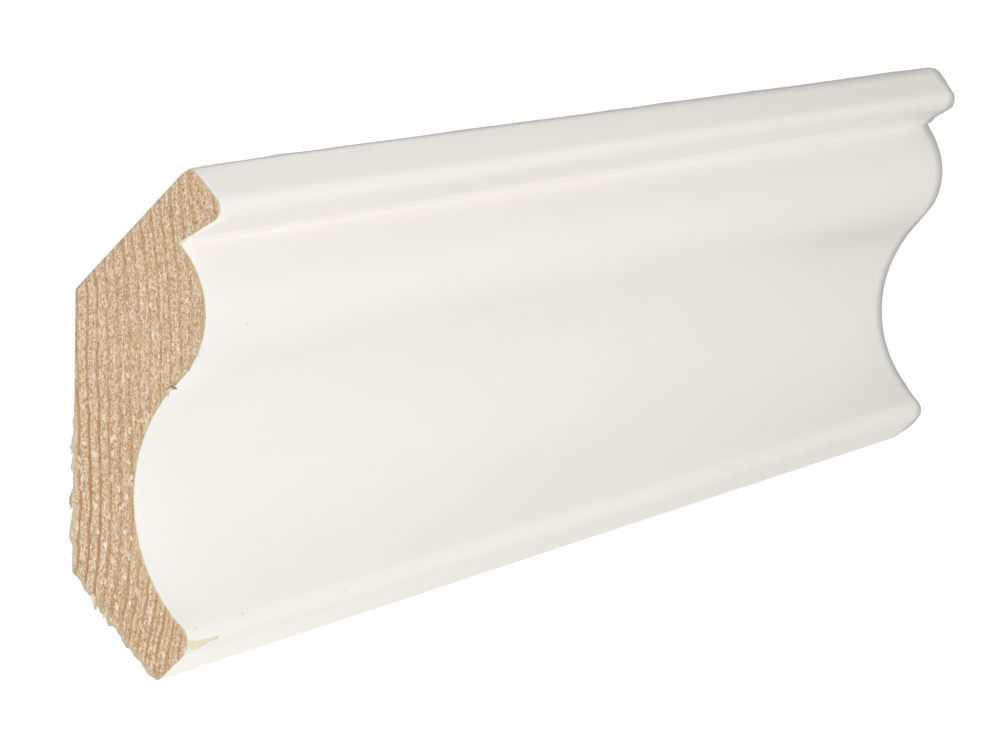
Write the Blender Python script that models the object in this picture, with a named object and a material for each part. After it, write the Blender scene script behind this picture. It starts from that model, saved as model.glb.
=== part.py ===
# Crown moulding length: one softwood board, moulded on its face and bevelled behind,
# so that it leans across the corner of a wall and a ceiling.
# Frame: +X along the length, +Y into the wall, +Z up to the ceiling. The origin is the
# middle of the lower rear bevel, which lies flat on the wall. All lengths are in metres.
import math

import bmesh
import bpy
from mathutils import Vector

MM = 0.001

LENGTH = 246.0 * MM          # the short length shown, cut square at both ends
BOARD_WIDTH = 68.0 * MM      # lower tip to upper tip, along the back
SPRING_ANGLE = 45.0          # degrees between the board's back and the wall
WALL_SEAT = 19.0 * MM        # lower rear bevel, flat on the wall
CEILING_SEAT = 24.65 * MM    # upper rear bevel, flat on the ceiling
TOP_FILLET = 8.2 * MM        # flat band under the ceiling, parallel to the wall
QUIRK_DEPTH = 7.35 * MM      # how far the sunk line runs back behind the fillet's edge
QUIRK_FALL = 31.0            # degrees by which the sunk line drops as it runs back
BEAD_RADIUS = 11.95 * MM     # the convex half of the ogee
BEAD_PROUD = 4.2 * MM        # how far the bead stands in front of the quirk's root
WAIST = 9.5 * MM             # wood left between the hollow and the board's back
TOE_FACE = 8.6 * MM          # flat band at the foot, square to the wall

UPPER_TIP_RADIUS = 0.7 * MM
FILLET_EDGE_RADIUS = 2.0 * MM
TOE_EDGE_RADIUS = 2.7 * MM
LOWER_TIP_RADIUS = 0.8 * MM
BACK_EDGE_RADIUS = 0.9 * MM

FACET_HEIGHT = 0.01 * MM     # how far a facet may cut inside its true arc

PAINT_COLOUR = (0.84, 0.82, 0.78, 1.0)
PAINT_ROUGHNESS = 0.4

# Board coordinates: x runs forward from the board's back, y runs up along the back.
SPRING = math.radians(SPRING_ANGLE)
DOWN_THE_WALL = Vector((math.sin(SPRING), -math.cos(SPRING)))
OUT_ALONG_CEILING = Vector((math.cos(SPRING), math.sin(SPRING)))

BACK_LOW = Vector((0.0, WALL_SEAT * math.cos(SPRING)))
LOWER_TIP = BACK_LOW + DOWN_THE_WALL * WALL_SEAT
BACK_HIGH = Vector((0.0, BOARD_WIDTH - CEILING_SEAT * math.sin(SPRING)))
UPPER_TIP = BACK_HIGH + OUT_ALONG_CEILING * CEILING_SEAT
FILLET_EDGE = UPPER_TIP + DOWN_THE_WALL * TOP_FILLET
QUIRK_ROOT = FILLET_EDGE - QUIRK_DEPTH * Vector((1.0, math.tan(math.radians(QUIRK_FALL))))
TOE_EDGE = LOWER_TIP + OUT_ALONG_CEILING * TOE_FACE
WALL_SEAT_MIDDLE = (BACK_LOW + LOWER_TIP) / 2


def angle_of(vector):
    return math.atan2(vector.y, vector.x)


def arc(centre, radius, start, sweep):
    """Points on a circle from the angle start, through sweep radians, both ends included."""
    step = 2 * math.acos(1 - min(FACET_HEIGHT / radius, 0.5))
    count = max(2, math.ceil(abs(sweep) / step))
    turns = (start + sweep * i / count for i in range(count + 1))
    return [centre + radius * Vector((math.cos(t), math.sin(t))) for t in turns]


def arc_between(centre, first, last):
    """The shorter arc about centre from the point first to the point last."""
    start = angle_of(first - centre)
    sweep = (angle_of(last - centre) - start + math.pi) % (2 * math.pi) - math.pi
    return arc(centre, (first - centre).length, start, sweep)


def rounded_corner(before, corner, after, radius):
    """The arc that eases a straight-sided corner."""
    to_before = (before - corner).normalized()
    to_after = (after - corner).normalized()
    half = to_before.angle(to_after) / 2
    run = radius / math.tan(half)
    centre = corner + (to_before + to_after).normalized() * radius / math.sin(half)
    return arc_between(centre, corner + to_before * run, corner + to_after * run)


def bead_centre():
    """The bead passes through the quirk's root and reaches BEAD_PROUD in front of it."""
    behind = BEAD_RADIUS - BEAD_PROUD
    return QUIRK_ROOT - Vector((behind, math.sqrt(BEAD_RADIUS ** 2 - behind ** 2)))


def cove_circle(bead):
    """The hollow: touches the bead, leaves WAIST of wood and ends on the toe's edge.

    The hollow's centre is one radius in front of the waist. Its height above the toe and
    its depth below the bead both grow with the radius, so the radius is closed in on by halves.
    """
    toe_reach = TOE_EDGE.x - WAIST
    bead_reach = bead.x + BEAD_RADIUS - WAIST
    rise = bead.y - TOE_EDGE.y

    def above_toe(radius):
        return math.sqrt(toe_reach * (2 * radius - toe_reach))

    def below_bead(radius):
        return math.sqrt(bead_reach * (2 * (radius + BEAD_RADIUS) - bead_reach))

    low, high = toe_reach / 2, 4 * rise
    for _ in range(60):
        radius = (low + high) / 2
        if above_toe(radius) + below_bead(radius) < rise:
            low = radius
        else:
            high = radius
    return Vector((WAIST + radius, TOE_EDGE.y + above_toe(radius))), radius


def rounded_toe(cove, cove_radius):
    """The arc that eases the toe's edge: it touches the hollow and the flat toe face."""
    into_wood = -DOWN_THE_WALL
    along_face = OUT_ALONG_CEILING
    start = LOWER_TIP + into_wood * TOE_EDGE_RADIUS - cove
    ahead = -start.dot(along_face)
    across = start.cross(along_face)
    reach = ahead - math.sqrt((cove_radius + TOE_EDGE_RADIUS) ** 2 - across ** 2)
    if reach < 0:
        reach = 2 * ahead - reach
    centre = cove + start + along_face * reach
    on_cove = centre + (cove - centre).normalized() * TOE_EDGE_RADIUS
    on_face = centre - into_wood * TOE_EDGE_RADIUS
    return arc_between(centre, on_cove, on_face)


def board_section():
    """The whole outline in board coordinates, from the back, over the top, down the face."""
    bead = bead_centre()
    cove, cove_radius = cove_circle(bead)
    bead_to_cove = bead + (cove - bead).normalized() * BEAD_RADIUS
    toe = rounded_toe(cove, cove_radius)
    cove_from = angle_of(bead_to_cove - cove) % (2 * math.pi)
    cove_to = angle_of(toe[0] - cove) % (2 * math.pi)

    outline = rounded_corner(BACK_LOW, BACK_HIGH, UPPER_TIP, BACK_EDGE_RADIUS)
    outline += rounded_corner(BACK_HIGH, UPPER_TIP, FILLET_EDGE, UPPER_TIP_RADIUS)
    outline += rounded_corner(UPPER_TIP, FILLET_EDGE, QUIRK_ROOT, FILLET_EDGE_RADIUS)
    outline += arc_between(bead, QUIRK_ROOT, bead_to_cove)
    outline += arc(cove, cove_radius, cove_from, cove_to - cove_from)[1:]
    outline += toe[1:]
    outline += rounded_corner(TOE_EDGE, LOWER_TIP, BACK_LOW, LOWER_TIP_RADIUS)
    outline += rounded_corner(LOWER_TIP, BACK_LOW, BACK_HIGH, BACK_EDGE_RADIUS)
    return outline


def as_fixed(point, x):
    """A board point leant over to the spring angle, as it sits between wall and ceiling."""
    from_seat = point - WALL_SEAT_MIDDLE
    return Vector((x, -from_seat.dot(OUT_ALONG_CEILING), -from_seat.dot(DOWN_THE_WALL)))


def painted_softwood():
    material = bpy.data.materials.new("painted_softwood")
    material.use_nodes = True
    shader = material.node_tree.nodes["Principled BSDF"]
    shader.inputs["Base Color"].default_value = PAINT_COLOUR
    shader.inputs["Roughness"].default_value = PAINT_ROUGHNESS
    shader.inputs["Metallic"].default_value = 0.0
    return material


def make_moulding():
    bm = bmesh.new()
    left_end = bm.faces.new([bm.verts.new(as_fixed(p, -LENGTH / 2)) for p in board_section()])
    drawn = bmesh.ops.extrude_face_region(bm, geom=[left_end])
    right_end = [v for v in drawn["geom"] if isinstance(v, bmesh.types.BMVert)]
    bmesh.ops.translate(bm, verts=right_end, vec=(LENGTH, 0.0, 0.0))
    bmesh.ops.recalc_face_normals(bm, faces=bm.faces)

    mesh = bpy.data.meshes.new("crown_moulding")
    bm.to_mesh(mesh)
    bm.free()
    mesh.materials.append(painted_softwood())
    mesh.shade_smooth()
    mesh.set_sharp_from_angle(angle=math.radians(30))
    moulding = bpy.data.objects.new("crown_moulding", mesh)
    bpy.context.scene.collection.objects.link(moulding)


def main():
    for old in list(bpy.data.objects):
        bpy.data.objects.remove(old, do_unlink=True)
    make_moulding()


main()
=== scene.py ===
import math

import bmesh
import bpy
from mathutils import Matrix, Vector, kdtree, noise


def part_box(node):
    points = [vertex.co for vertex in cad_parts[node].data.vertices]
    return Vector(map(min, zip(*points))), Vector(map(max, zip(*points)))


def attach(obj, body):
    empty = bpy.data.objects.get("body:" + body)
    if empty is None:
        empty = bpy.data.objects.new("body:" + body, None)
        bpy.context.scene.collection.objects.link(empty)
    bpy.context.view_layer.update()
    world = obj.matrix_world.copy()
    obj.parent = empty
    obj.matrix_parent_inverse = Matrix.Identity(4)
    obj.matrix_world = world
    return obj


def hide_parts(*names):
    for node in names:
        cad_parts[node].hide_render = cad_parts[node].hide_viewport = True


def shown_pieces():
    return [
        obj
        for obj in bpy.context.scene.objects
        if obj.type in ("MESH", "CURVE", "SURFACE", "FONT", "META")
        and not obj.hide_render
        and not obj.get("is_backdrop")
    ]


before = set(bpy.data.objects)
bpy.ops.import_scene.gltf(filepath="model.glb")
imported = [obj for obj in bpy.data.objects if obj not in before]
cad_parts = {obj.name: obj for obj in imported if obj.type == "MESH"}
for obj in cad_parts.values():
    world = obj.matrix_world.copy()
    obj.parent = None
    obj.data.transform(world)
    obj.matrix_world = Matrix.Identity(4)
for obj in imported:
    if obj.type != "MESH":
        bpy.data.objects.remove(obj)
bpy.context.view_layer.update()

# Crown moulding length: raw pine board, satin paint film on its face, torn fibres at the saw cut.
# The near end is the one at the lowest X, which faces the camera. Metres, as in the frame.
mm = 0.001
lowCorner, highCorner = (Vector(corner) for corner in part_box("crown_moulding"))
nearX, farX = lowCorner.x, highCorner.x


def report(stage):
    print("crown moulding:", stage)


# the board's section, read off the near end of the solid

section = {
    "mergeReach": 0.002 * mm,   # corners closer than this are one
    "straight": 2.0 * mm,       # an edge longer than this is a flat, a shorter one is a facet of an arc
    "sharpTurn": 0.7,           # radians; the sunk line's root is the only such corner
    "step": 0.3 * mm,           # spacing of the points round the section
    "sameRow": 0.0001 * mm,     # vertices this close along X are in one row
}


def readOutline(node):
    bm = bmesh.new()
    bm.from_mesh(node.data)
    bmesh.ops.remove_doubles(bm, verts=bm.verts, dist=section["mergeReach"])
    atEnd = {v for v in bm.verts if v.co.x < nearX + section["mergeReach"]}
    rim = {}
    for edge in bm.edges:
        lengthways = [f for f in edge.link_faces if abs(f.normal.x) < 0.5]
        if len(lengthways) == 1 and set(edge.verts) <= atEnd:
            for v in edge.verts:
                rim.setdefault(v, []).append(edge.other_vert(v))
    here = next(iter(rim))
    path, before = [here], None
    while len(path) < len(rim):
        here, before = next(v for v in rim[here] if v is not before), here
        path.append(here)
    outline = [Vector((v.co.y, v.co.z)) for v in path]
    bm.free()
    return outline


def fromBackTop(outline):
    # the back is the longest flat; start at its upper corner and go over the ceiling seat first
    count = len(outline)
    longest = max(range(count), key=lambda i: (outline[i] - outline[i - 1]).length)
    if outline[longest].y > outline[longest - 1].y:
        return outline[longest:] + outline[:longest]
    outline = outline[::-1]
    start = count - longest
    return outline[start % count:] + outline[:start % count]


def smoothRing(outline):
    # flats are cut into even steps, facets of an arc become the arc again
    count = len(outline)
    run = [outline[(i + 1) % count] - outline[i] for i in range(count)]
    ring = []
    for i in range(count):
        start, chord = outline[i], run[i]
        leave = (run[i - 1] + chord).normalized()
        arrive = (chord + run[(i + 1) % count]).normalized()
        if run[i - 1].angle(chord) > section["sharpTurn"]:
            leave = 2 * chord.normalized().dot(arrive) * chord.normalized() - arrive
        if chord.angle(run[(i + 1) % count]) > section["sharpTurn"]:
            arrive = 2 * chord.normalized().dot(leave) * chord.normalized() - leave
        flat = chord.length > section["straight"]
        parts = max(1 if flat else 2, round(chord.length / section["step"]))
        for k in range(parts):
            t = k / parts
            if flat:
                ring.append(start + chord * t)
                continue
            bend = (t ** 3 - 2 * t ** 2 + t) * leave + (t ** 3 - t ** 2) * arrive
            ring.append(start + chord * (3 * t ** 2 - 2 * t ** 3) + bend * chord.length)
    return ring


corners = fromBackTop(readOutline(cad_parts["crown_moulding"]))
ring = smoothRing(corners)
ringSize = len(ring)
walked = [0.0]
for i in range(1, ringSize):
    walked.append(walked[-1] + (ring[i] - ring[i - 1]).length)


def outwardAt(i):
    ahead = ring[(i + 1) % ringSize] - ring[i - 1]
    return Vector((-ahead.y, ahead.x)).normalized()


outward = [outwardAt(i) for i in range(ringSize)]
if outward[ringSize // 2].x > 0:     # the face looks towards the room, which is -Y
    outward = [-n for n in outward]

# board coordinates, for grain and for the marks: depth from the back, height along the back
backTop, backFoot = ring[0], corners[-1]
upTheBack = (backTop - backFoot).normalized()
offTheBack = Vector((upTheBack.y, -upTheBack.x))
if offTheBack.x > 0:
    offTheBack = -offTheBack
tipHeight = min(p.dot(upTheBack) for p in ring)


def onBoard(point):
    return Vector(((point - backTop).dot(offTheBack), point.dot(upTheBack) - tipHeight))


def lift(point, x):
    return Vector((x, point.x, point.y))


report("section read, %d points, %.1f mm round" % (ringSize, walked[-1] / mm))

# shared mesh helpers


def between(low, value, high):
    # 0 at low, 1 at high, eased at both ends
    t = min(max((value - low) / (high - low), 0.0), 1.0)
    return t * t * (3 - 2 * t)


def stepped(value, places):
    # straight from one listed place to the next
    for (low, start), (high, end) in zip(places, places[1:]):
        if low <= value <= high:
            return start + (end - start) * (value - low) / (high - low)
    return 0.0


def uneven(x, y, z):
    return noise.noise(Vector((x, y, z)))


def alongShare(x):
    # 0 at the near end, 1 at the far end
    return (x - nearX) / (farX - nearX)


def ringAt(s):
    # point and outward direction at a distance walked round the section
    low, high = 0, ringSize - 1
    while high - low > 1:
        middle = (low + high) // 2
        if walked[middle] <= s:
            low = middle
        else:
            high = middle
    t = (s - walked[low]) / (walked[high] - walked[low])
    return ring[low].lerp(ring[high], t), outward[low].lerp(outward[high], t).normalized()


def graded(start, end, coarse, spots):
    # steps that close up round each spot; a spot is (place, finest step, growth with distance)
    places = [start]
    while True:
        step = min([coarse] + [fine + growth * abs(places[-1] - at) for at, fine, growth in spots])
        if places[-1] + 1.5 * step > end:
            return places + [end]
        places.append(places[-1] + step)


def once(parts):
    # each part once, in the order met, so that every run makes the same mesh
    return list(dict.fromkeys(parts))


def chain(bm, places, closed):
    verts = [bm.verts.new(p) for p in places]
    edges = [bm.edges.new(pair) for pair in zip(verts, verts[1:])]
    if closed:
        edges.append(bm.edges.new((verts[-1], verts[0])))
    return verts, edges


def drawOut(bm, edges, xPlaces):
    # the chain is drawn along the board, one new row for each place
    for x in xPlaces:
        made = bmesh.ops.extrude_edge_only(bm, edges=edges)["geom"]
        for v in made:
            if isinstance(v, bmesh.types.BMVert):
                v.co.x = x
        edges = [e for e in made if isinstance(e, bmesh.types.BMEdge)
                 and all(abs(v.co.x - x) < section["sameRow"] for v in e.verts)]
    return edges


def finishPiece(bm, name, material, smoothAngle=40):
    mesh = bpy.data.meshes.new(name)
    bm.to_mesh(mesh)
    bm.free()
    mesh.materials.append(material)
    mesh.shade_smooth()
    mesh.set_sharp_from_angle(angle=math.radians(smoothAngle))
    piece = bpy.data.objects.new(name, mesh)
    bpy.context.scene.collection.objects.link(piece)
    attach(piece, "root")
    print("  %s: %d faces" % (name, len(mesh.polygons)))
    return piece


# materials


class NodeDesk:
    # a small bench for wiring one material; every step returns the socket it made
    def __init__(self, name):
        self.material = bpy.data.materials.new(name)
        self.material.use_nodes = True
        self.tree = self.material.node_tree
        self.shader = self.tree.nodes["Principled BSDF"]

    def node(self, kind, inputs=(), **settings):
        made = self.tree.nodes.new(kind)
        for key, value in settings.items():
            setattr(made, key, value)
        for key, value in dict(inputs).items():
            self.feed(made.inputs[key], value)
        return made

    def feed(self, socket, value):
        if isinstance(value, bpy.types.NodeSocket):
            self.tree.links.new(value, socket)
        else:
            socket.default_value = value

    def maths(self, operation, *values):
        made = self.tree.nodes.new("ShaderNodeMath")
        made.operation = operation
        for socket, value in zip(made.inputs, values):
            self.feed(socket, value)
        return made.outputs[0]

    def noise(self, vector, scale, detail=2.0, roughness=0.5):
        settings = {"Vector": vector, "Scale": scale, "Detail": detail, "Roughness": roughness}
        return self.node("ShaderNodeTexNoise", settings).outputs["Fac"]

    def spread(self, value, fromLow, fromHigh, toLow, toHigh):
        settings = {"Value": value, "From Min": fromLow, "From Max": fromHigh,
                    "To Min": toLow, "To Max": toHigh}
        return self.node("ShaderNodeMapRange", settings).outputs["Result"]

    def mix(self, share, first, second):
        made = self.tree.nodes.new("ShaderNodeMix")
        made.data_type = "RGBA"
        self.feed(made.inputs["Factor"], share)
        self.feed(made.inputs["A"], first)
        self.feed(made.inputs["B"], second)
        return made.outputs["Result"]

    def stretched(self, vector, scale):
        return self.node("ShaderNodeMapping", {"Vector": vector, "Scale": scale}).outputs["Vector"]

    def bump(self, height, distance, strength=1.0, normal=None):
        settings = {"Height": height, "Distance": distance, "Strength": strength}
        if normal is not None:
            settings["Normal"] = normal
        return self.node("ShaderNodeBump", settings).outputs["Normal"]


def boardMillimetres(desk):
    # object coordinates turned to the board: X along it, Y off its back, Z up its back, in mm
    turn = math.atan2(-upTheBack.x, upTheBack.y)
    start = Vector((-backTop.dot(offTheBack), -tipHeight)) / mm
    settings = {"Vector": desk.node("ShaderNodeTexCoord").outputs["Object"],
                "Scale": (1 / mm, -1 / mm, 1 / mm), "Rotation": (turn, 0.0, 0.0),
                "Location": (0.0, start.x, start.y)}
    return desk.node("ShaderNodeMapping", settings).outputs["Vector"]


pine = {
    "width": 69.0,                 # mm up the back that the two curves below cover
    "ringSpacing": 1.62,           # mm
    "firstRing": 0.40,
    "ringShift": 20.90,            # rings
    # each year's line, in shares of the year: it starts at lineStart less lineRise and is full at lineFull
    "lineStart": 0.90,
    "lineRise": 0.34,
    "lineFull": 0.78,
    "lineStop": (0.91, 0.98),
    "faintest": 0.65,
    "strongByBack": (2.8, 8.0, 1.0, 0.55),    # from and to, mm off the back, and the strengths there
    # fainter lines between them, with a spacing that is a share of the main one
    "between": {"spacing": 0.47, "shift": 0.35, "rise": 0.5, "seed": 31.0, "strength": 0.70,
                "upBack": (9.0, 15.0, 0.75, 0.34), "offBack": (4.0, 8.0, 0.25, 1.0)},
    # how two of the noises below move the rings: range of the noise, then the shift in mm
    "ringMoves": {"wander": (0.25, 0.75, -0.22, 0.22), "waver": (0.3, 0.7, -0.08, 0.08)},
    # how the rings lean: height on the back, and how far off the back they stand there, both in mm
    "lean": ((0, -1.9), (6, -0.95), (10, -0.2), (14, 0.35), (18, 0.65), (22, 0.8), (26, 0.7), (30, 0.5),
             (36, 0.2), (42, 0.0), (50, -0.25), (54, -0.85), (58, -1.4), (62, -1.9), (69, -2.8)),
    "leanRange": (-3.0, 1.5),
    # how strongly they show at each height
    "show": ((0, 0.95), (10, 1.0), (30, 1.0), (37, 0.80), (44, 0.62), (52, 0.66), (58, 0.92), (69, 0.80)),
    "showRange": (0.0, 1.0),
    "earlywood": (0.740, 0.542, 0.342, 1.0),
    "pinkish": (0.760, 0.538, 0.380, 1.0),
    "straw": (0.725, 0.568, 0.305, 1.0),
    "latewood": (0.435, 0.165, 0.032, 1.0),
    "pale": (0.960, 0.890, 0.730, 1.0),
    "deep": (0.300, 0.185, 0.075, 1.0),
    # colours that the mesh carries as attributes, and straw above: fresh and torn are the wood's own, the
    # third is painted shade, a dark line along the rim of the sawn face
    "fresh": (0.730, 0.670, 0.485, 1.0),
    "torn": (0.650, 0.625, 0.470, 1.0),
    # painted shade: dark along the sawn face's rim, where its edge turns away from the light
    "rimShade": (0.260, 0.260, 0.240, 1.0),
    "roughness": 0.78,
    "specular": 0.25,
    "fibreStretch": (0.02, 1.0, 1.0),     # fibres run along the board
    # noise over the cut: stretch, scale, detail, roughness
    "noises": {
        "wander": ((1.0, 0.6, 0.5), 0.35, 2.0, 0.5),
        "waver": ((1.0, 1.0, 0.45), 1.5, 2.0, 0.5),
        "grit": ((1.0, 1.9, 1.15), 2.3, 2.0, 0.85),
        "strands": ((1.0, 2.8, 0.40), 1.2, 2.0, 0.6),
        "blotch": ((1.0, 1.0, 1.0), 0.28, 3.0, 0.6),
        "tint": ((1.0, 1.0, 0.6), 0.55, 2.0, 0.6),
    },
    # how the noise colours the cut: from where, full where, how much, and with what
    "tints": (
        ("blotch", 0.38, 0.66, 0.80, "pinkish"),
        ("tint", 0.50, 0.68, 0.55, "straw"),
        ("strands", 0.48, 0.30, 0.40, "deep"),
        ("strands", 0.54, 0.72, 0.35, "pale"),
        ("grit", 0.50, 0.68, 0.74, "pale"),
        ("grit", 0.50, 0.33, 0.84, "deep"),
    ),
    # scattered pale tufts, fewer of them from 30 to 44 mm up the back
    "tufts": {"stretch": (1.0, 1.0, 0.55), "scale": 0.85, "edge": (0.16, 0.27), "chosen": (0.58, 0.80),
              "ragged": 0.10, "thinning": (30.0, 44.0), "shares": (0.62, 0.35)},
    "bump": (0.06 * mm, 0.8),
    "lineBump": 0.4,
}


def byHeight(desk, upBack, places, span):
    # a value that follows the height on the board's back
    curve = desk.node("ShaderNodeFloatCurve", {"Value": desk.maths("DIVIDE", upBack, pine["width"])})
    low, high = span
    points = curve.mapping.curves[0].points
    dots = [(height / pine["width"], (value - low) / (high - low)) for height, value in places]
    points[0].location, points[1].location = dots[0], dots[-1]
    for dot in dots[1:-1]:
        points.new(*dot)
    curve.mapping.update()
    return desk.spread(curve.outputs["Value"], 0.0, 1.0, low, high)


def ringLines(desk, depth, spacing, rise, seed):
    # one dark line a year: it darkens outwards, then stops short; the years differ in strength
    year = desk.maths("DIVIDE", depth, spacing)
    share = desk.maths("FRACT", year)
    which = desk.maths("ADD", desk.maths("FLOOR", year), seed)
    strength = desk.node("ShaderNodeTexWhiteNoise", {"W": which}, noise_dimensions="1D").outputs["Value"]
    line = desk.maths("MULTIPLY", desk.spread(share, pine["lineStart"] - rise, pine["lineFull"], 0.0, 1.0),
                      desk.spread(share, *pine["lineStop"], 1.0, 0.0))
    return desk.maths("MULTIPLY", line, desk.spread(strength, 0.0, 1.0, pine["faintest"], 1.0))


def pineMaterial():
    desk = NodeDesk("rawPine")
    grain = desk.stretched(boardMillimetres(desk), pine["fibreStretch"])
    parts = desk.node("ShaderNodeSeparateXYZ", {"Vector": grain})
    offBack, upBack = parts.outputs["Y"], parts.outputs["Z"]
    noises = {name: desk.noise(desk.stretched(grain, stretch), *settings)
              for name, (stretch, *settings) in pine["noises"].items()}

    # the rings: their depth in the log, then the main lines and the fainter ones between them
    depth = desk.maths("SUBTRACT", offBack, byHeight(desk, upBack, pine["lean"], pine["leanRange"]))
    for name, move in pine["ringMoves"].items():
        depth = desk.maths("ADD", depth, desk.spread(noises[name], *move))
    depth = desk.maths("SUBTRACT", depth, pine["firstRing"] - pine["ringShift"] * pine["ringSpacing"])
    show = byHeight(desk, upBack, pine["show"], pine["showRange"])
    main = ringLines(desk, depth, pine["ringSpacing"], pine["lineRise"], 0.0)
    nearBack = desk.spread(offBack, *pine["strongByBack"])
    main = desk.maths("MULTIPLY", desk.maths("MULTIPLY", main, show), nearBack)
    faint = pine["between"]
    narrow = ringLines(desk, desk.maths("ADD", depth, faint["shift"]), pine["ringSpacing"] * faint["spacing"],
                       faint["rise"], faint["seed"])
    narrow = desk.maths("MULTIPLY", narrow, desk.spread(upBack, *faint["upBack"]))
    narrow = desk.maths("MULTIPLY", narrow, desk.spread(offBack, *faint["offBack"]))

    tufts = pine["tufts"]
    cellPlace = desk.stretched(grain, tufts["stretch"])
    cells = desk.node("ShaderNodeTexVoronoi", {"Vector": cellPlace, "Scale": tufts["scale"]})
    chosen = desk.node("ShaderNodeSeparateColor", {"Color": cells.outputs["Color"]}).outputs["Red"]
    ragged = desk.spread(noises["grit"], 0.3, 0.7, tufts["ragged"], -tufts["ragged"])
    inside = desk.spread(desk.maths("ADD", cells.outputs["Distance"], ragged), *tufts["edge"], 1.0, 0.0)
    tuft = desk.maths("MULTIPLY", inside, desk.spread(chosen, *tufts["chosen"], 0.0, 1.0))
    tuft = desk.maths("MULTIPLY", tuft, desk.spread(upBack, *tufts["thinning"], *tufts["shares"]))

    colour = pine["earlywood"]
    for name, starts, full, most, tone in pine["tints"]:
        colour = desk.mix(desk.spread(noises[name], starts, full, 0.0, most), colour, pine[tone])
    colour = desk.mix(desk.maths("MULTIPLY", narrow, faint["strength"]), colour, pine["latewood"])
    colour = desk.mix(main, colour, pine["latewood"])
    colour = desk.mix(tuft, colour, pine["pale"])
    for tone in ("straw", "fresh", "torn", "rimShade"):
        amount = desk.node("ShaderNodeAttribute", attribute_name=tone).outputs["Fac"]
        colour = desk.mix(amount, colour, pine[tone])
    desk.feed(desk.shader.inputs["Base Color"], colour)
    desk.shader.inputs["Roughness"].default_value = pine["roughness"]
    desk.shader.inputs["Specular IOR Level"].default_value = pine["specular"]
    height = desk.maths("ADD", noises["grit"], desk.maths("MULTIPLY", main, pine["lineBump"]))
    desk.feed(desk.shader.inputs["Normal"], desk.bump(height, *pine["bump"]))
    return desk.material


paint = {
    "colour": (0.853, 0.831, 0.793, 1.0),
    "thin": (0.805, 0.772, 0.710, 1.0),
    "mark": (0.330, 0.310, 0.270, 1.0),
    # painted shade: grey on the far end's rounded rim and on the upper tip, where the paint turns away from
    # the light
    "paintedShade": (0.450, 0.445, 0.425, 1.0),
    "straw": (0.800, 0.700, 0.500, 1.0),
    "roughness": 0.42,
    "sheenChange": (-0.05, 0.06),   # the roughness differs by this much along its streaks
    "cloudiness": 0.18,
    # noise in the film: stretch, scale, detail, roughness
    "cloud": ((0.12, 1.0, 1.0), 0.06, 3.0, 0.5),
    "streak": ((0.012, 1.0, 1.0), 1.1, 3.0, 0.6),
    "peel": ((1.0, 1.0, 1.0), 0.9, 3.0, 0.55),
    "streakBump": (0.03 * mm, 0.5),
    "peelBump": (0.02 * mm, 0.35),
}


def paintMaterial():
    desk = NodeDesk("satinPaint")
    place = boardMillimetres(desk)
    cloud, streak, peel = (desk.noise(desk.stretched(place, stretch), *settings)
                           for stretch, *settings in (paint["cloud"], paint["streak"], paint["peel"]))
    cloudy = desk.spread(cloud, 0.35, 0.65, 0.0, paint["cloudiness"])
    colour = desk.mix(cloudy, paint["colour"], paint["thin"])
    # the first of these is painted shade, the others are marks and the straw of the sawn edge
    for tone in ("paintedShade", "mark", "straw"):
        amount = desk.node("ShaderNodeAttribute", attribute_name=tone).outputs["Fac"]
        colour = desk.mix(amount, colour, paint[tone])
    desk.feed(desk.shader.inputs["Base Color"], colour)
    glossy, dull = (paint["roughness"] + change for change in paint["sheenChange"])
    desk.feed(desk.shader.inputs["Roughness"], desk.spread(streak, 0.3, 0.7, glossy, dull))
    grainShow = desk.bump(streak, *paint["streakBump"])
    desk.feed(desk.shader.inputs["Normal"], desk.bump(peel, *paint["peelBump"], grainShow))
    return desk.material


fibre = {
    "colour": (0.900, 0.780, 0.610, 1.0),
    "shade": (0.760, 0.640, 0.460, 1.0),
    "tip": (0.120, 0.125, 0.120, 1.0),
    "roughness": 0.8,
    "strand": ((0.5, 2.0, 1.2), 1.6, 2.0),   # stretch, scale, detail
    "bump": (0.05 * mm, 0.7),
}


def fibreMaterial():
    desk = NodeDesk("tornFibre")
    place = boardMillimetres(desk)
    stretch, *settings = fibre["strand"]
    strand = desk.noise(desk.stretched(place, stretch), *settings)
    colour = desk.mix(desk.spread(strand, 0.35, 0.65, 0.0, 1.0), fibre["colour"], fibre["shade"])
    dark = desk.node("ShaderNodeAttribute", attribute_name="dark").outputs["Fac"]
    desk.feed(desk.shader.inputs["Base Color"], desk.mix(dark, colour, fibre["tip"]))
    desk.shader.inputs["Roughness"].default_value = fibre["roughness"]
    desk.feed(desk.shader.inputs["Normal"], desk.bump(strand, *fibre["bump"]))
    return desk.material


rawPine, satinPaint, tornFibre = pineMaterial(), paintMaterial(), fibreMaterial()
report("materials ready")

# The paint film, a closed skin over the face that laps round both tips.

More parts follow.
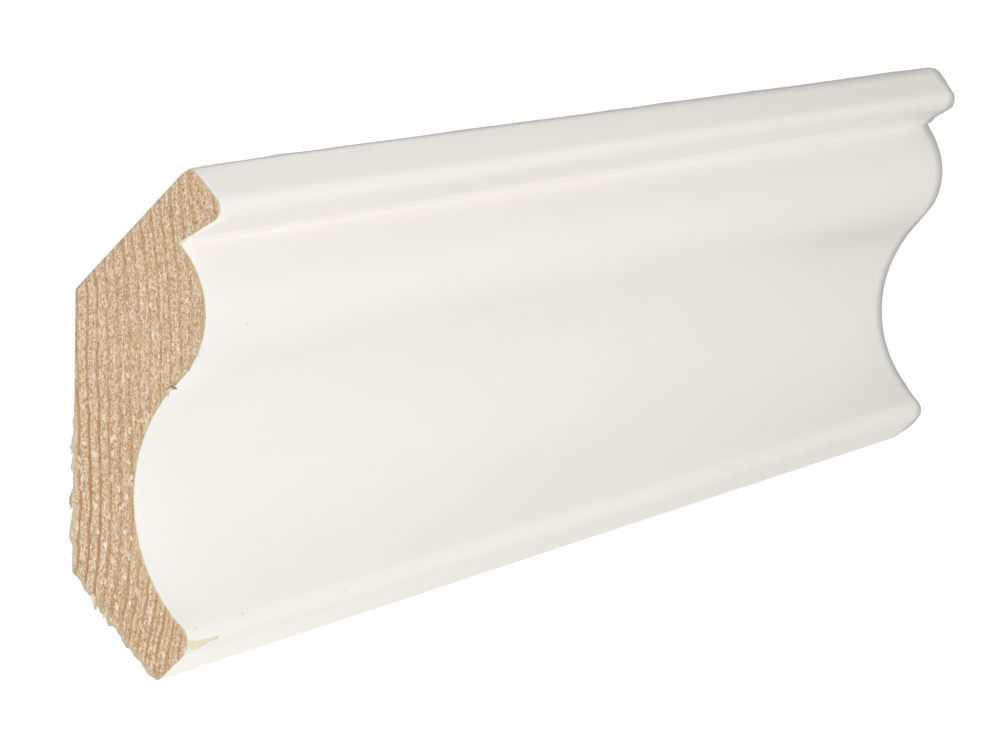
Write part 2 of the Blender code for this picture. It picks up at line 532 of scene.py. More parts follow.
film = {
    "thickness": 0.17 * mm,
    "sunk": 0.03 * mm,          # its underside dips this far into the wood, so that no gap shows
    "topLap": 1.1 * mm,         # how far it runs back on to the ceiling seat
    "footLap": 0.8 * mm,        # and up on to the wall seat
    "lapWander": 0.45 * mm,
    "wanderFade": 1.2 * mm,
    "easeIn": 1.0 * mm,
    "edgeProud": 0.015 * mm,    # its edges stand this far off the wood
    "nearChips": 0.10 * mm,     # depth of the saw's bites in its near edge
    "crownDrop": 0.15 * mm,     # the fillet falls away a little towards the upper tip, more at the far end
    "crownNear": 0.25,          # share of that fall at the near end
    "crownWidth": 2.4 * mm,
    "crownEase": 0.3 * mm,
    # paint gathers in the sunk line this far from its root: near end, far end
    "fillReach": (1.4 * mm, 2.5 * mm),
    "fillDepth": 0.39,
    "run": 0.42 * mm,           # and it has run thicker under the fillet by the far end
    "runLength": 40.0 * mm,
    "runFull": 2.0 * mm,        # full from here to the far end
    # from where it starts to where it is full, measured from the root of the sunk line
    "runAbove": (-6.6 * mm, -5.4 * mm),
    "runBelow": (1.4 * mm, -0.8 * mm),
    "runFaces": -2.5 * mm,      # it stands out the way the wood faces here
    "tipWorn": 0.24 * mm,       # the upper tip is knocked down near the saw cut
    "tipFade": 28.0 * mm,
    "tipWidth": 1.1 * mm,
    # painted shade on the upper tip, where it turns away from the light, in a band that widens towards the
    # far end
    "tipShadeWidth": (0.55 * mm, 1.90 * mm),
    "shadeStrength": 0.62,
    "shadeBehind": (-0.8 * mm, -0.2 * mm),
    "dintReach": 1.6,           # a mark fades out at this many times its size
    "dintDepth": 0.12 * mm,
    "dintDark": 1.1,
    "bareDown": 75.1 * mm,      # the bare spot's middle, down the face
    "bareReach": 8.0 * mm,      # and it ends within this of the near end
    "bareRagged": 0.10,         # mm
    "bareRagScale": 2.3,
    "sawnStraw": 0.55,          # how straw-coloured the sawn edge of the paint is
    # mesh steps down the face and along it, and where they close up: finest step, growth away from there
    "coarse": (0.5 * mm, 9.0 * mm),
    "fineDown": {"tip": (0.10 * mm, 0.25), "mark": (0.10 * mm, 0.35), "bare": (0.11 * mm, 0.12),
                 "quirk": (0.15 * mm, 0.15)},
    "fineAlong": {"sawCut": (0.12 * mm, 0.14), "mark": (0.10 * mm, 0.45), "bare": (0.2 * mm, 0.3)},
}
farEnd = {                      # the painted end's arris is rounded, long and shallow
    "length": 4.2 * mm,
    # how deep: mm down the face from the film's upper edge, and mm knocked back there
    "depths": ((-3.0, 0.20), (0.7, 0.60), (2.2, 0.10), (4.0, 0.25), (6.6, 0.95), (8.2, 0.50),
               (9.5, 0.10), (17.5, 0.10), (21.0, 0.33), (32.0, 0.32), (34.6, 0.54), (38.0, 0.12),
               (43.5, 0.12), (50.0, 0.42), (60.0, 0.76), (69.0, 0.70), (72.6, 1.35), (75.5, 0.58),
               (78.0, 0.10), (80.0, 0.14), (82.0, 1.10), (86.0, 0.60)),
    "bareDepth": 0.15 * mm,
    "shadeFrom": 4.8 * mm,        # painted shade darkens the rounded rim from this far in
    "rubFull": 0.7 * mm,
    "shadeStrength": 0.74,
    "turns": 8,
}

paintFrom = next(i for i in range(ringSize) if ring[i].x < lowCorner.y + film["topLap"])
paintTo = max(i for i in range(ringSize) if ring[i].y < lowCorner.z + film["footLap"])
filmStart, filmEnd = walked[paintFrom], walked[paintTo]
upperTip = walked[max(range(ringSize), key=lambda i: ring[i].dot(upTheBack))]
lowerTip = walked[min(range(ringSize), key=lambda i: ring[i].dot(upTheBack))]


def easedDirections(reach):
    # outward directions averaged over a stretch of the section, so that a tip can shrink without folding
    eased = []
    for i in range(ringSize):
        total, k = outward[i].copy(), 1
        while (walked[(i + k) % ringSize] - walked[i]) % walked[-1] < reach and k < ringSize // 4:
            total += outward[(i + k) % ringSize] + outward[i - k]
            k += 1
        eased.append(total.normalized())
    return eased


eased = easedDirections(2.0 * mm)

# the sunk line's root is the sharpest corner well inside the paint
insidePaint = [i for i in range(ringSize) if upperTip + 10 * mm < walked[i] < lowerTip - 10 * mm]
rootIndex = max(insidePaint, key=lambda i: outward[i - 2].angle(outward[i + 2]))
quirkRoot, rootOut = walked[rootIndex], (outward[rootIndex - 4] + outward[rootIndex + 4]).normalized()
underOut = ringAt(quirkRoot + film["runFaces"])[1]


def gathered(s, x):
    # how far the paint rounds off the sunk line at its root, and how thick it has run under the fillet
    nearReach, farReach = film["fillReach"]
    reach = nearReach + (farReach - nearReach) * alongShare(x)
    past = s - quirkRoot
    short = max(0.0, reach - abs(past))
    (above, aboveFull), (below, belowFull) = film["runAbove"], film["runBelow"]
    under = between(above, past, aboveFull) * between(below, past, belowFull)
    run = film["run"] * under * between(farX - film["runLength"], x, farX - film["runFull"])
    return rootOut * (film["fillDepth"] * short * short / reach) + underOut * run


def wornTip(s, x):
    fade = max(0.0, 1 - (x - nearX) / film["tipFade"]) ** 2
    return film["tipWorn"] * fade * math.exp(-((s - upperTip) / film["tipWidth"]) ** 2)


def tipPaintedShade(s, x):
    # painted shade on the upper tip's rounding, darkest at the tip
    narrow, wide = film["tipShadeWidth"]
    start, full = film["shadeBehind"]
    past = s - upperTip
    band = min(1.0, max(0.0, 1 - past / (narrow + (wide - narrow) * alongShare(x))))
    return film["shadeStrength"] * band * between(start, past, full)


def insideFilm(s):
    return min(s - filmStart, filmEnd - s)


def coverDepth(s):
    return (film["thickness"] - film["sunk"]) * between(0.0, insideFilm(s), film["easeIn"])


def farDepth(s):
    # depth of the far end's rounding at this place on the section
    painted = between(-1.5 * mm, insideFilm(s), 0.5 * mm)
    depth = stepped((s - filmStart) / mm, farEnd["depths"]) * mm
    return farEnd["bareDepth"] + (depth - farEnd["bareDepth"]) * painted


def roundedFar(s, turn, under):
    # where a point goes on the far end's rounding: new x, drop the eased way, drop the outward way
    length, depth = farEnd["length"], farDepth(s)
    tilt = Vector((math.sin(turn) / length, math.cos(turn) / depth)).normalized()
    skin = film["thickness"] - film["sunk"]
    x = farX - length * (1 - math.sin(turn)) - (skin * tilt.x if under else 0.0)
    return x, depth * (1 - math.cos(turn)), (coverDepth(s) * tilt.y if under else 0.0)


farTurns = [math.radians(90 * k / farEnd["turns"]) for k in range(1, farEnd["turns"] + 1)]
farStart = farX - farEnd["length"]
# the rows to be turned are drawn out 1 mm apart first, so that a row's place tells its turn
turnedRows = [farStart + k * mm for k in range(1, len(farTurns) + 1)]


def turnNumber(x):
    # 0 for a row that isn't turned
    return max(0, round((x - farStart) / mm))


# marks on the film: mm from the near end, mm down the face from the film's upper edge, size, depth
marks = {
    "pinhole on the bead": (10.4, 28.5, 0.24, 0.32),
    "speck in the hollow": (26.5, 54.3, 0.22, 0.22),
    "dint above the toe": (14.0, 73.1, 0.30, 0.30),
    "dint by the saw cut": (2.5, 73.1, 0.26, 0.30),
    "scuff on the toe": (40.0, 74.4, 0.24, 0.3),
    # the next mark is painted shadow at the tip of the bare spot: the film there is sunk and darkened
    "painted shadow at the bare spot": (7.15, 75.15, 0.26, 0.62),
}
# the bare spot where paint has flaked off the toe, same measures
bareSpot = [(-0.3, 74.25), (1.1, 74.5), (2.6, 74.7), (4.0, 74.85), (4.7, 74.85), (6.7, 75.05), (6.9, 75.25),
            (4.9, 75.5), (3.4, 75.85), (1.8, 75.75), (0.5, 75.5), (-0.3, 75.4)]


def insideOutline(x, y, outline):
    inside = False
    for (x1, y1), (x2, y2) in zip(outline, outline[1:] + outline[:1]):
        if (y1 > y) != (y2 > y) and x < (x2 - x1) * (y - y1) / (y2 - y1) + x1:
            inside = not inside
    return inside


def easedAt(s):
    index = min(range(ringSize), key=lambda i: abs(walked[i] - s))
    return eased[index]


def buildFilm():
    bm = bmesh.new()
    markLayer, paintedShade, straw = (bm.verts.layers.float.new(name) for name in ("mark", "paintedShade", "straw"))
    order = bm.verts.layers.int.new("order")
    turned = bm.verts.layers.int.new("turned")
    fineDown, fineAlong = film["fineDown"], film["fineAlong"]
    downSpots = [(s, *fineDown["tip"]) for s in (upperTip, lowerTip)]
    downSpots += [(filmStart + down * mm, *fineDown["mark"]) for _, down, _, _ in marks.values()]
    downSpots += [(filmStart + film["bareDown"], *fineDown["bare"]), (quirkRoot, *fineDown["quirk"])]
    alongSpots = [(nearX, *fineAlong["sawCut"]), (nearX + bareSpot[4][0] * mm, *fineAlong["bare"])]
    alongSpots += [(nearX + along * mm, *fineAlong["mark"]) for along, _, _, _ in marks.values()]
    down = graded(filmStart, filmEnd, film["coarse"][0], downSpots)
    stations = graded(nearX, farStart, film["coarse"][1], alongSpots)

    profile = [ringAt(s) for s in down]
    verts, edges = chain(bm, [lift(p, nearX) for p, _ in profile], closed=False)
    for k, v in enumerate(verts):
        v[order] = k
    edges = drawOut(bm, edges, stations[1:])
    drawOut(bm, edges, turnedRows)
    for v in bm.verts:
        x, s = v.co.x, down[v[order]]
        point, out = profile[v[order]]
        v[turned] = turnNumber(x)
        if v[turned] == 0:
            placeFilmPoint(v, x, s, point + gathered(s, x), out, markLayer)
        else:
            newX, drop, _ = roundedFar(s, farTurns[v[turned] - 1], under=False)
            v.co = lift(point + gathered(s, newX) - easedAt(s) * drop, newX)
            # painted shade: grey on the far end's rounded rim, then on the upper tip's rounding
            v[paintedShade] = farEnd["shadeStrength"] * between(farEnd["shadeFrom"], farX - newX, farEnd["rubFull"])
        v[paintedShade] = max(v[paintedShade], tipPaintedShade(s, x))
        if x < nearX + section["sameRow"]:
            v[straw] = min(1.0, film["sawnStraw"] + uneven(s * 500, 4.0, 2.0))
    peelBareSpot(bm)
    outer = bm.faces[:]
    made = bmesh.ops.extrude_face_region(bm, geom=outer, use_keep_orig=True)["geom"]
    for v in made:
        if isinstance(v, bmesh.types.BMVert):
            s, out = down[v[order]], profile[v[order]][1]
            tilt = Vector((0.0, 1.0))
            if v[turned] > 0:
                turn = farTurns[v[turned] - 1]
                tilt = Vector((math.sin(turn) / farEnd["length"], math.cos(turn) / farDepth(s))).normalized()
            v.co -= lift(out * tilt.y, tilt.x) * film["thickness"] + lift(gathered(s, v.co.x), 0.0)
    bmesh.ops.recalc_face_normals(bm, faces=bm.faces)
    return finishPiece(bm, "paintFilm", satinPaint)


def placeFilmPoint(v, x, s, point, out, markLayer):
    along, downFace = (x - nearX) / mm, (s - filmStart) / mm
    inside = insideFilm(s)
    shift = film["edgeProud"] * (1 - between(0.0, inside, film["easeIn"]))
    for place, down, size, depth in marks.values():
        reach = math.hypot(along - place, downFace - down) / (size * film["dintReach"])
        if reach < 1:
            dint = (1 - reach ** 2) ** 2
            shift -= dint * depth * film["dintDepth"]
            v[markLayer] = max(v[markLayer], min(1.0, dint * film["dintDark"]) * depth)
    fromTip = s - upperTip
    if 0 < fromTip < film["crownWidth"]:
        share = film["crownNear"] + (1 - film["crownNear"]) * alongShare(x)
        fall = (1 - fromTip / film["crownWidth"]) ** 2 * between(0, fromTip, film["crownEase"])
        shift -= film["crownDrop"] * share * fall
    point = point + out * (shift - wornTip(s, x))
    v.co = lift(point, v.co.x)
    # the laps' edges wander, and so does the edge that the saw left
    wander = uneven(x * 90, s * 20, 0.0) + 0.5 * uneven(x * 700, 0.0, 3.0)
    pull = film["lapWander"] * wander * (1 - between(0.0, inside, film["wanderFade"]))
    if s - filmStart < filmEnd - s:
        v.co.y += pull
    else:
        v.co.z += pull
    if x < nearX + section["sameRow"]:
        v.co.x += film["nearChips"] * (abs(uneven(s * 900, 1.0, 0.0)) + abs(uneven(s * 3100, 5.0, 0.0)))


def peelBareSpot(bm):
    gone = []
    ragScale = film["bareRagScale"]
    for f in bm.faces:
        middle = f.calc_center_median()
        if middle.x < nearX + film["bareReach"]:
            along, down = (middle.x - nearX) / mm, downFaceOf(middle)
            ragged = film["bareRagged"] * uneven(along * ragScale, down * ragScale, 7.0)
            if insideOutline(along, down + ragged, bareSpot):
                gone.append(f)
    bmesh.ops.delete(bm, geom=gone, context="FACES")
    # its rim is smoothed, and the film's own edges are left alone
    lowest = (filmEnd - filmStart) / mm - 3.0
    rim = [v for v in bm.verts if v.is_boundary and nearX + 0.05 * mm < v.co.x < nearX + film["bareReach"]
           and 3.0 < downFaceOf(v.co) < lowest]
    for _ in range(2):
        bmesh.ops.smooth_vert(bm, verts=rim, factor=0.5, use_axis_x=True, use_axis_y=True, use_axis_z=True)


def downFaceOf(place):
    flat = Vector((place.y, place.z))
    closest = min(range(paintFrom, paintTo + 1), key=lambda i: (ring[i] - flat).length_squared)
    return (walked[closest] - filmStart) / mm


buildFilm()
report("paint film done")

# The wood: one length, sawn square at both ends, with fibres standing up on the sawn faces.

wood = {
    "cell": 0.28 * mm,           # mesh size on the near sawn face
    "farCell": 0.8 * mm,
    "onCut": 0.02 * mm,          # a vertex this close to a cut isn't cut off again
    "rows": (0.12, 0.3, 0.55, 0.9, 1.4, 2.1, 3.0, 6.0, 20.0, 60.0, 120.0, 180.0, 225.0, 235.0),
    "relief": 0.085 * mm,        # how deep the cut fibres lie
    # noise in the sawn face: scale off the back, scale up it, layer, and its share of the relief
    "ridges": (3.1, 1.2, 0.0, 0.45),
    "grit": (5.5, 4.5, 5.0, 0.40),
    "pits": (1.7, 1.1, 11.0, 1.60),
    "pitsOver": 0.3,
    "meanRelief": 0.55,
    "farRelief": 0.5,
    "farPattern": (40.0, 9.0),   # the far cut reads the noise from another place
    "farEase": 5.0 * mm,
    "tearFade": 1.1 * mm,        # how far in from the saw cut the torn edge reaches
    "tearPull": 1.2 * mm,        # and how far across the sawn face
    "paintedWear": 0.06 * mm,    # how rough the saw left the edge: under the paint, then on the ceiling seat
    "seatWear": 0.03 * mm,
    # the back is torn below this height: from none to fully, mm up the back; mm proud, and its roughness
    "tornBelow": (36.0, 32.0),
    "tornProud": (0.10, 0.16),
    # torn swells on the back edge: upper and lower end on the back, and how far each stands out, mm
    "swells": ((33.6, 32.4, 0.20), (31.2, 28.7, 0.46), (28.3, 26.2, 0.34), (23.9, 21.3, 0.58),
               (20.9, 16.6, 0.52)),
    # the wall seat's edge, torn out by the blade: mm along it from the back foot, mm proud
    "tears": ((0.0, 0.10), (0.6, 0.25), (1.9, 0.06), (3.3, 0.42), (4.8, 0.22), (6.2, 0.35), (7.1, 0.56),
              (8.1, 0.24), (8.6, 0.74), (9.2, 0.80), (9.7, 0.16), (11.5, 0.32), (12.8, 0.60), (13.6, 0.24),
              (14.6, 0.44), (15.6, 0.14), (17.6, 0.36), (19.0, 0.10)),
    "tearRough": 0.14,
    # share of a swell over which it rises, then breaks off, and the power of each
    "swellShape": ((0.72, 0.7), (0.16, 0.8)),
    "edgeTint": 0.9 * mm,        # width of the pale and straw edges on the sawn face and of the painted shade along its rim
    "shadedOnlyAbove": 34.0,          # mm up the back, above which its edge gets only painted shade
    # the straw and torn amounts are the wood's own colour; the rest darken the rim as painted shade
    "stainsAndShade": {"paintStraw": 0.75, "paintTorn": 0.30, "seatRimShade": 0.85, "backRimShade": 0.35, "tearStraw": 0.15,
               "tearTorn": (0.35, 1.1), "tearRimShade": 0.30, "seatEdgeShade": 0.8},
    # where a baked picture keeps each part, in pixels: pixels to a millimetre, left edge, lower edge
    "picture": {"sides": (4.0, 12, 12), "sawn": (14.0, 30, 480), "far": (7.0, 30, 830)},
    "pictureSize": 1024,
    "hiddenRim": 4.0 * mm,       # wood further than this under the paint is squeezed on the picture
    "squeeze": 0.75,
}


def swellAt(height):
    # a swell starts slowly at its upper end and breaks off short at its lower one
    out = 0.0
    (rise, risePower), (fall, fallPower) = wood["swellShape"]
    for top, foot, size in wood["swells"]:
        t = (top - height) / (top - foot)
        if 0 < t < 1:
            out += size * (min(1.0, t / rise) ** risePower * min(1.0, (1 - t) / fall) ** fallPower)
    return out


def tornEdge(i, x):
    # outward shift of a point on the saw's edge, and how torn it is
    fade = max(0.0, 1 - (x - nearX) / wood["tearFade"]) ** 2
    s, height = walked[i], onBoard(ring[i]).y / mm
    fine = uneven(s * 1900, 2.0, 0.0) + 0.6 * uneven(s * 4300, 3.0, 0.0)
    if paintFrom <= i <= paintTo:
        return -wood["paintedWear"] * abs(fine) * fade - wornTip(s, x), 0.0
    if i < paintFrom:                                   # the ceiling seat: a clean edge, not torn
        return wood["seatWear"] * fine * fade - wornTip(s, x), 0.0
    if onBoard(ring[i]).x < 0.05 * mm:                  # the back
        whole, fully = wood["tornBelow"]
        lower = between(whole, height, fully)
        proud, rough = wood["tornProud"]
        return (swellAt(height) + (proud + rough * fine) * lower) * mm * fade, lower * fade
    fromFoot = (backFoot - ring[i]).length / mm         # the wall seat
    tear = stepped(fromFoot, wood["tears"]) + wood["tearRough"] * fine
    return tear * mm * fade * between(0, height, 0.8), fade


def gridCut(bm, faces, cell):
    # a sawn face is cut into small cells, so that its fibres can stand up and sink
    geometry = faces + once(e for f in faces for e in f.edges) + once(v for f in faces for v in f.verts)
    for across in (offTheBack, upTheBack):
        low, high = min(p.dot(across) for p in ring), max(p.dot(across) for p in ring)
        count = int((high - low) / cell)
        for k in range(1, count + 1):
            at = low + (high - low) * k / (count + 1)
            cut = bmesh.ops.bisect_plane(bm, geom=geometry, dist=wood["onCut"],
                                         plane_co=lift(across * at, 0.0), plane_no=lift(across, 0.0))
            geometry = cut["geom"]


def edgeStainsAndShade(i, s, away):
    # how the sawn face beside its rim is coloured: how straw and how torn, and how much painted shade darkens
    # the rim
    near = max(0.0, 1 - away / wood["edgeTint"])
    patch = 0.5 + 0.9 * uneven(s * 420, 1.0, 8.0)
    stainsAndShade = wood["stainsAndShade"]
    if paintFrom <= i <= paintTo:
        return stainsAndShade["paintStraw"] * near * patch, stainsAndShade["paintTorn"] * near ** 3, 0.0
    if i < paintFrom:
        return 0.0, 0.0, stainsAndShade["seatRimShade"] * near ** 5
    if onBoard(ring[i]).y / mm > wood["shadedOnlyAbove"]:
        return 0.0, 0.0, stainsAndShade["backRimShade"] * near ** 6
    least, patchy = stainsAndShade["tearTorn"]
    tear = min(1.0, (least + patchy * patch) * near ** 2)
    return stainsAndShade["tearStraw"] * near * patch, tear, stainsAndShade["tearRimShade"] * near ** 6


def squeezed(s):
    # mm round the section on the baked picture, where the wood under the paint gets little room
    rim = wood["hiddenRim"]
    hidden = min(max(s - filmStart - rim, 0.0), lowerTip - filmStart - 3 * rim)
    return (s - wood["squeeze"] * hidden) / mm


def layOnPicture(bm, uv, lookup, nearCap, farFrom):
    # the sawn face gets the most pixels; the sides are rolled out flat
    allRound = squeezed(walked[-1] + (ring[0] - ring[-1]).length)
    around, board = {}, {}
    for v in bm.verts:
        flat = Vector((v.co.y, v.co.z))
        i = lookup.find(lift(flat, 0.0))[1]
        ahead = (ring[(i + 1) % ringSize] - ring[i - 1]).normalized()
        around[v] = squeezed(walked[i] + (flat - ring[i]).dot(ahead))
        board[v] = onBoard(flat) / mm
    for f in bm.faces:
        part = "sides"
        if all(v in nearCap for v in f.verts):
            part = "sawn"
        elif all(v.co.x > farFrom for v in f.verts):
            part = "far"
        scale, left, foot = wood["picture"][part]
        crosses = max(around[v] for v in f.verts) - min(around[v] for v in f.verts) > allRound / 2
        for loop in f.loops:
            v = loop.vert
            right, up = board[v].y, board[v].x
            if part == "sides":
                right = (v.co.x - nearX) / mm
                up = around[v] + (allRound if crosses and around[v] < allRound / 2 else 0.0)
            loop[uv].uv = Vector((left + right * scale, foot + up * scale)) / wood["pictureSize"]


def buildBoard():
    bm = bmesh.new()
    uv = bm.loops.layers.uv.new("OFBake")
    floats = bm.verts.layers.float
    fresh, rimShade, torn, straw = (floats.new(name) for name in ("fresh", "rimShade", "torn", "straw"))
    verts, _ = chain(bm, [lift(ring[i], nearX) for i in range(ringSize)], closed=True)
    gridCut(bm, [bm.faces.new(verts)], wood["cell"])
    rim = [e for e in bm.edges if e.is_boundary]
    nearCap = set(bm.verts)
    nearInner = nearCap - {v for e in rim for v in e.verts}
    last = drawOut(bm, rim, [nearX + x * mm for x in wood["rows"]] + [farStart] + turnedRows)
    gridCut(bm, bmesh.ops.edgeloop_fill(bm, edges=last)["faces"], wood["farCell"])
    farFrom = turnedRows[-1] - 0.5 * mm
    farInner = {v for v in bm.verts if all(u.co.x > farFrom for f in v.link_faces for u in f.verts)}
    lookup = kdtree.KDTree(ringSize)
    for i, p in enumerate(ring):
        lookup.insert(lift(p, 0.0), i)
    lookup.balance()
    layOnPicture(bm, uv, lookup, nearCap, farFrom)
    for v in bm.verts:
        x, flat = v.co.x, Vector((v.co.y, v.co.z))
        _, i, away = lookup.find(lift(flat, 0.0))
        if v in nearCap:
            v[straw], v[torn], v[rimShade] = edgeStainsAndShade(i, walked[i], away)
        if v in nearInner:
            v.co.x += reliefAt(onBoard(flat) / mm)
            pull = max(0.0, 1 - away / wood["tearPull"]) ** 2     # the cells beside a torn edge follow it
            v.co += lift(outward[i], 0.0) * tornEdge(i, nearX)[0] * pull
            continue
        if v in farInner:
            flat -= eased[i] * farDepth(walked[i]) * max(0.0, 1 - away / wood["farEase"])
            relief = wood["farRelief"] * reliefAt(onBoard(flat) / mm + Vector(wood["farPattern"]))
            v.co = lift(flat, farX - (film["thickness"] - film["sunk"] + relief))
            continue
        if turnNumber(x) > 0:
            turn = farTurns[turnNumber(x) - 1]
            newX, drop, under = roundedFar(walked[i], turn, under=True)
            v.co = lift(flat - eased[i] * drop - outward[i] * under, newX)
        else:
            shift, tear = tornEdge(i, x)
            v.co = lift(flat + outward[i] * (shift - coverDepth(walked[i])), x)
            if v not in nearCap:
                v[torn] = tear
                # painted shade on the ceiling seat's first millimetre from the saw cut
                edge = max(0.0, 1 - (x - nearX) / mm) if i < paintFrom else 0.0
                v[rimShade] = wood["stainsAndShade"]["seatEdgeShade"] * edge
        if v not in nearCap and paintFrom + 3 < i < paintTo - 3 and x < farFrom:
            v[fresh] = 1.0                              # wood under the paint has kept its colour
    bmesh.ops.recalc_face_normals(bm, faces=bm.faces)
    return finishPiece(bm, "pineBoard", rawPine)


def reliefAt(place):
    # depth of the sawn face at a place on the section, in board millimetres
    depth = wood["meanRelief"]
    for kind in ("ridges", "grit", "pits"):
        across, up, layer, share = wood[kind]
        height = uneven(place.x * across, place.y * up, layer)
        depth += share * (max(0.0, height - wood["pitsOver"]) if kind == "pits" else height)
    return wood["relief"] * depth


pineBoard = buildBoard()
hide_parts("crown_moulding")
report("wood done")

# Splinters, tufts and crumbs that the blade left round the near end.

tornBits = {
    # root and tip as mm off the back, mm up the back, mm in from the saw cut; then width, curl, dark tip
    "splinters": (
        ((3.00, 10.2, 0.10), (3.80, 8.25, -0.10), 0.75, 0.10, 0.55),
        ((14.40, 38.00, 0.05), (16.05, 38.75, -0.40), 0.62, 0.20, 1.0),
        ((14.1, 38.3, 0.05), (14.7, 37.45, -0.20), 0.42, 0.10, 0.4),
        ((16.8, 40.9, 0.00), (17.9, 41.3, -0.25), 0.32, 0.10, 0.6),
        ((17.0, 41.6, 0.05), (17.9, 41.1, -0.15), 0.26, -0.10, 0.1),
        ((18.3, 43.6, 0.05), (19.2, 43.1, -0.10), 0.24, 0.05, 0.0),
        ((5.2, 8.0, 0.15), (4.9, 7.2, -0.05), 0.55, 0.08, 0.1),
        ((0.1, 29.2, 0.20), (-0.45, 28.5, -0.05), 0.40, 0.05, 0.3),
        ((0.1, 21.9, 0.20), (-0.60, 21.2, 0.00), 0.45, 0.05, 0.2),
        ((8.6, 4.9, 0.15), (8.45, 4.1, 0.05), 0.40, 0.0, 0.5),
        ((12.3, 1.6, 0.10), (12.0, 0.8, 0.05), 0.35, 0.0, 0.5),
        ((20.6, 61.9, 0.05), (21.5, 61.1, -0.15), 0.28, 0.10, 0.2),
        ((17.4, 59.0, 0.05), (18.1, 58.5, -0.10), 0.24, 0.05, 0.0),
    ),
    # pale tufts and crumbs on the sawn face: off the back, up the back, size
    "crumbs": ((9.0, 26.4, 0.42), (9.1, 25.5, 0.34), (8.7, 32.3, 0.30), (5.2, 28.3, 0.24), (3.6, 25.2, 0.30),
               (7.8, 22.7, 0.36), (3.9, 18.6, 0.34), (5.0, 17.1, 0.46), (8.0, 19.1, 0.40), (9.1, 18.4, 0.34),
               (9.0, 9.9, 0.40), (6.7, 10.4, 0.32), (11.5, 58.2, 0.36), (8.0, 49.1, 0.20),
               (13.0, 42.6, 0.28), (18.2, 66.4, 0.22), (19.9, 60.5, 0.18), (15.0, 1.4, 0.24),
               (15.7, 2.1, 0.20), (16.3, 3.1, 0.24), (16.9, 4.1, 0.18), (17.2, 5.2, 0.22)),
    "sides": 6,
    "segments": 4,
    "tipSize": 0.20,             # against a root of 0.5
    "thickness": 0.5,            # of the width
    "wobble": 0.075,
    "darkAlong": (0.35, 0.9),    # the dark comes in over this share of the length
    "crumbOut": 0.03 * mm,
    "crumbShape": (0.55, 0.32, 1.0),   # off the back, along the board, up the back
    "crumbRough": 0.55,
}


def onSection(offBack, upBack):
    # board millimetres back to a point of the section, in metres
    fromTop = offTheBack * (offBack * mm) + upTheBack * (upBack * mm + tipHeight)
    return fromTop + offTheBack * backTop.dot(offTheBack)


def addSplinter(bm, dark, placed, root, tip, width, curl, darkness):
    verts = bmesh.ops.create_cone(bm, cap_ends=True, segments=tornBits["sides"], radius1=0.5,
                                  radius2=tornBits["tipSize"], depth=1.0)["verts"]
    long = [e for e in once(e for v in verts for e in v.link_edges)
            if abs(e.verts[0].co.z - e.verts[1].co.z) > 0.5]
    bmesh.ops.subdivide_edges(bm, edges=long, cuts=tornBits["segments"])
    start = lift(onSection(root[0], root[1]), nearX + root[2] * mm)
    end = lift(onSection(tip[0], tip[1]), nearX + tip[2] * mm)
    along = end - start
    side = along.cross(Vector((1, 0, 0))).normalized()
    for v in [v for v in bm.verts if not v[placed]]:
        v[placed] = 1
        t = v.co.z + 0.5
        bow = curl * mm * math.sin(math.pi * t)
        wobble = tornBits["wobble"] * uneven(t * 4, root[0], v.co.x)
        darkFrom, darkFull = tornBits["darkAlong"]
        v[dark] = darkness * between(darkFrom, t, darkFull)
        v.co = (start + along * t + side * (bow + (v.co.x + wobble) * width * mm)
                + Vector((v.co.y * tornBits["thickness"] * width * mm, 0, 0)))


def addCrumb(bm, offBack, upBack, size):
    made = bmesh.ops.create_icosphere(bm, subdivisions=2, radius=1.0)["verts"]
    centre = lift(onSection(offBack, upBack), nearX + tornBits["crumbOut"])
    off, along, up = tornBits["crumbShape"]
    for v in made:
        v.co *= 1 + tornBits["crumbRough"] * noise.noise(v.co * 1.7 + Vector((offBack, upBack, 0)))
        reach = offTheBack * (v.co.x * off) + upTheBack * (v.co.z * up)
        v.co = centre + lift(reach, v.co.y * along) * (size * mm)


def buildTornFibres():
    bm = bmesh.new()
    dark, placed = bm.verts.layers.float.new("dark"), bm.verts.layers.int.new("placed")
    for splinter in tornBits["splinters"]:
        addSplinter(bm, dark, placed, *splinter)
    for crumb in tornBits["crumbs"]:
        addCrumb(bm, *crumb)
    bmesh.ops.recalc_face_normals(bm, faces=bm.faces)
    return finishPiece(bm, "tornFibres", tornFibre, smoothAngle=55)


buildTornFibres()
report("torn fibres done")

# floor, light and camera

stage = {
    "floorDrop": 1.6,
    "floorSize": 14.0,
    "floorColour": (0.85, 0.85, 0.85, 1.0),
    "floorRoughness": 0.9,
    "floorGlow": 0.72,
    "worldLight": 0.05,
    "backdrop": 1.05,
    "lampSize": 0.9,
    "lampAim": Vector((0.0, -0.025, 0.012)),
    "view": Vector((-0.56507, -0.28749, -0.12814)),
    "aim": Vector((-0.00771, -0.00971, 0.01795)),
    "roll": 38.31,
    "lens": 148.6,
    "sensor": 36.0,
    "clip": (0.05, 50.0),
}
white = (1.0, 1.0, 1.0, 1.0)
softboxes = {                    # where each one stands, and its watts
    "lowLeftBehind": ((-0.545, 1.146, -0.135), 19.3),
    "below": ((-0.151, 0.800, -0.981), 2.5),
    "belowFront": ((-0.908, 0.159, -0.900), 4.8),
    "frontRight": ((-0.363, -1.012, -0.753), 14.6),
    "frontTop": ((-0.694, -1.008, 0.504), 5.8),
    "overTop": ((0.151, -0.850, 1.005), 2.7),
    "farBehind": ((0.694, 0.958, -0.480), 2.4),
    "aboveBehind": ((0.350, 0.900, 1.000), 3.5),
}


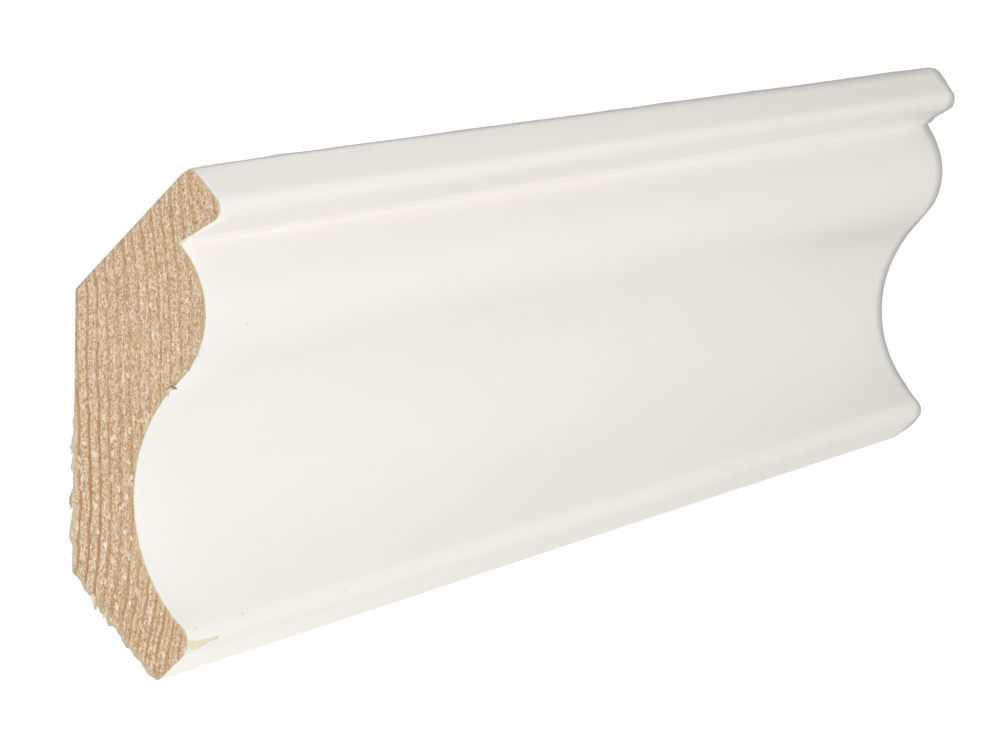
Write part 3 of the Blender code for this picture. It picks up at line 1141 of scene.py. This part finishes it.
def makeFloor():
    bm = bmesh.new()
    bmesh.ops.create_grid(bm, x_segments=2, y_segments=2, size=stage["floorSize"] / 2)
    bmesh.ops.translate(bm, verts=bm.verts, vec=(0, 0, lowCorner.z - stage["floorDrop"]))
    mesh = bpy.data.meshes.new("floor")
    bm.to_mesh(mesh)
    bm.free()
    floor = bpy.data.objects.new("floor", mesh)
    bpy.context.scene.collection.objects.link(floor)
    desk = NodeDesk("paleFloor")
    desk.shader.inputs["Base Color"].default_value = stage["floorColour"]
    desk.shader.inputs["Roughness"].default_value = stage["floorRoughness"]
    desk.shader.inputs["Emission Color"].default_value = white
    # bright to the eye, and throws no light on the part
    seen = desk.node("ShaderNodeLightPath").outputs["Is Camera Ray"]
    desk.feed(desk.shader.inputs["Emission Strength"], desk.maths("MULTIPLY", seen, stage["floorGlow"]))
    mesh.materials.append(desk.material)
    floor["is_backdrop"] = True


def makeWorld():
    world = bpy.data.worlds.new("whiteStudio")
    bpy.context.scene.world = world
    world.use_nodes = True
    nodes, links = world.node_tree.nodes, world.node_tree.links
    nodes["Background"].inputs["Strength"].default_value = stage["worldLight"]
    nodes["Background"].inputs["Color"].default_value = white
    backdrop = nodes.new("ShaderNodeBackground")
    backdrop.inputs["Strength"].default_value = stage["backdrop"]
    backdrop.inputs["Color"].default_value = white
    seen = nodes.new("ShaderNodeLightPath")
    pick = nodes.new("ShaderNodeMixShader")
    links.new(seen.outputs["Is Camera Ray"], pick.inputs["Fac"])
    links.new(nodes["Background"].outputs[0], pick.inputs[1])
    links.new(backdrop.outputs[0], pick.inputs[2])
    links.new(pick.outputs[0], nodes["World Output"].inputs["Surface"])


def makeLight(name, place, watts):
    lamp = bpy.data.lights.new(name, "AREA")
    lamp.shape, lamp.size, lamp.energy = "SQUARE", stage["lampSize"], watts
    light = bpy.data.objects.new(name, lamp)
    light.location = place
    light.rotation_euler = (stage["lampAim"] - Vector(place)).to_track_quat("-Z", "Y").to_euler()
    light.visible_camera = False
    bpy.context.scene.collection.objects.link(light)


def makeCamera():
    lens = bpy.data.cameras.new("camera")
    lens.lens, lens.sensor_width = stage["lens"], stage["sensor"]
    lens.clip_start, lens.clip_end = stage["clip"]
    camera = bpy.data.objects.new("camera", lens)
    looking = (stage["aim"] - stage["view"]).to_track_quat("-Z", "Y").to_matrix()
    turned = looking @ Matrix.Rotation(math.radians(-stage["roll"]), 3, "Z")
    camera.matrix_world = Matrix.Translation(stage["view"]) @ turned.to_4x4()
    bpy.context.scene.collection.objects.link(camera)
    bpy.context.scene.camera = camera


makeFloor()
makeWorld()
for name, (place, watts) in softboxes.items():
    makeLight(name, place, watts)
makeCamera()
bpy.context.scene.view_settings.view_transform = "Standard"

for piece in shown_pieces():
    print("  piece", piece.name)
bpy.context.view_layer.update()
report("ready to render")
